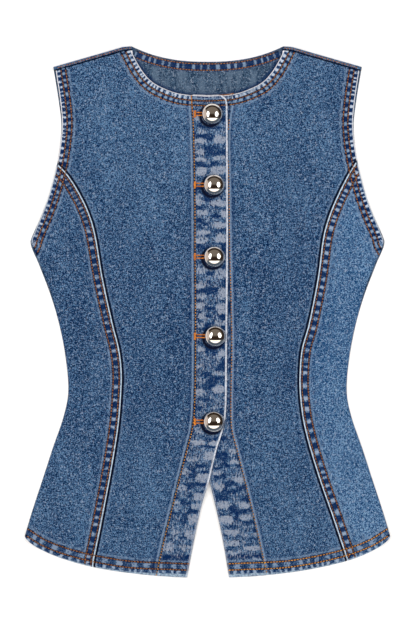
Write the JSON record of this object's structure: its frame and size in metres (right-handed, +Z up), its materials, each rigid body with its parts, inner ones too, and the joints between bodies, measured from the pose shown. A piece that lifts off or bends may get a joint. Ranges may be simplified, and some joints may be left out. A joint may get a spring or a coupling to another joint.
{
  "type": "denim vest",
  "caption": "Sleeveless round-neck denim vest with princess seams, a buttoned placket and a split curved hem, lying flat with its front up.",
  "frame": {"origin": "middle of the vest's box on the surface it lies on, under its flat underside", "axes": "+X towards the wearer's left (image right), +Y towards the neck, +Z up from the surface, out of the vest's front"},
  "size_m": [0.4018, 0.5837, 0.0177],
  "materials": {
    "denim": "stone-washed mid-blue twill",
    "denim_band": "doubled twill, abraded pale along its folds",
    "denim_inside": "paler inner face of the twill",
    "thread": "orange-brown topstitching",
    "button_metal": "polished"
  },
  "bodies": {
    "root": {"back": "denim_inside", "back_neck_facing": "denim_band", "front_centre_right": "denim", "front_centre_left": "denim", "front_side_right": "denim", "front_side_left": "denim", "placket_right": "denim_band", "placket_left": "denim_band", "button_1": "button_metal", "button_2": "button_metal", "button_3": "button_metal", "button_4": "button_metal", "button_5": "button_metal"}
  },
  "joints": []
}
